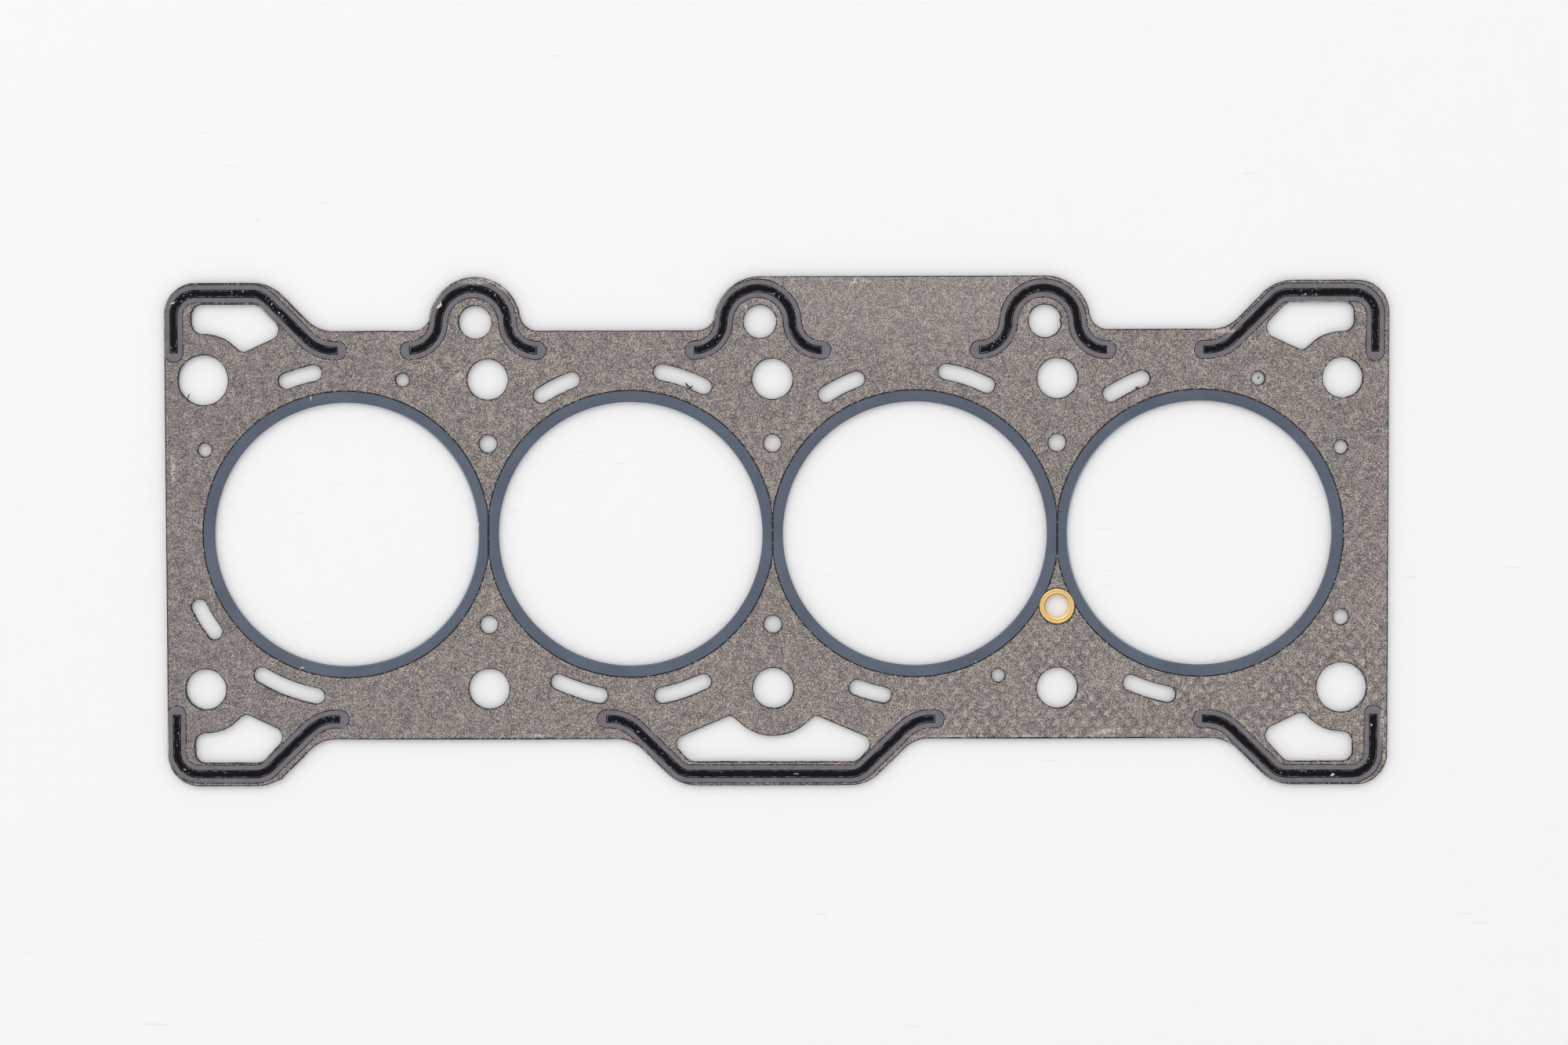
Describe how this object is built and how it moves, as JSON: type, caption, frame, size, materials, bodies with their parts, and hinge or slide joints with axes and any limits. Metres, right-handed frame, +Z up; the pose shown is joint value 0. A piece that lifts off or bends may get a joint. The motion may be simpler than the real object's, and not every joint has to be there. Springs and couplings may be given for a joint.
{
  "type": "cylinder head gasket",
  "caption": "Composite cylinder head gasket: graphite facings on a steel core, folded steel fire rings, a rolled oil feed eyelet and raised sealing beads on both faces.",
  "frame": {"origin": "centre of the head bolt pattern, in the middle of the gasket's thickness", "axes": "+X along the row of cylinders, with cylinder 1 at -X; +Y across the engine towards the side with the three ears; +Z up through the thickness"},
  "size_m": [0.361, 0.1505, 0.0016],
  "materials": {
    "graphite_facing": "grainy matt graphite and fibre",
    "core_steel": "mill finish",
    "coated_ring": "satin slate coating on folded steel",
    "copper_alloy": "bright rolled metal",
    "bead_rubber": "glossy black silicone"
  },
  "bodies": {
    "root": {"core_plate": "core_steel", "upper_facing": "graphite_facing", "lower_facing": "graphite_facing", "fire_ring_1": "coated_ring", "fire_ring_2": "coated_ring", "fire_ring_3": "coated_ring", "fire_ring_4": "coated_ring", "oil_eyelet": "copper_alloy", "upper_bead_far_left": "bead_rubber", "upper_bead_far_right": "bead_rubber", "upper_bead_near_left": "bead_rubber", "upper_bead_near_right": "bead_rubber", "upper_bead_near_middle": "bead_rubber", "upper_bead_ear_1": "bead_rubber", "upper_bead_ear_2": "bead_rubber", "upper_bead_ear_3": "bead_rubber", "lower_bead_far_left": "bead_rubber", "lower_bead_far_right": "bead_rubber", "lower_bead_near_left": "bead_rubber", "lower_bead_near_right": "bead_rubber", "lower_bead_near_middle": "bead_rubber", "lower_bead_ear_1": "bead_rubber", "lower_bead_ear_2": "bead_rubber", "lower_bead_ear_3": "bead_rubber"}
  },
  "joints": []
}
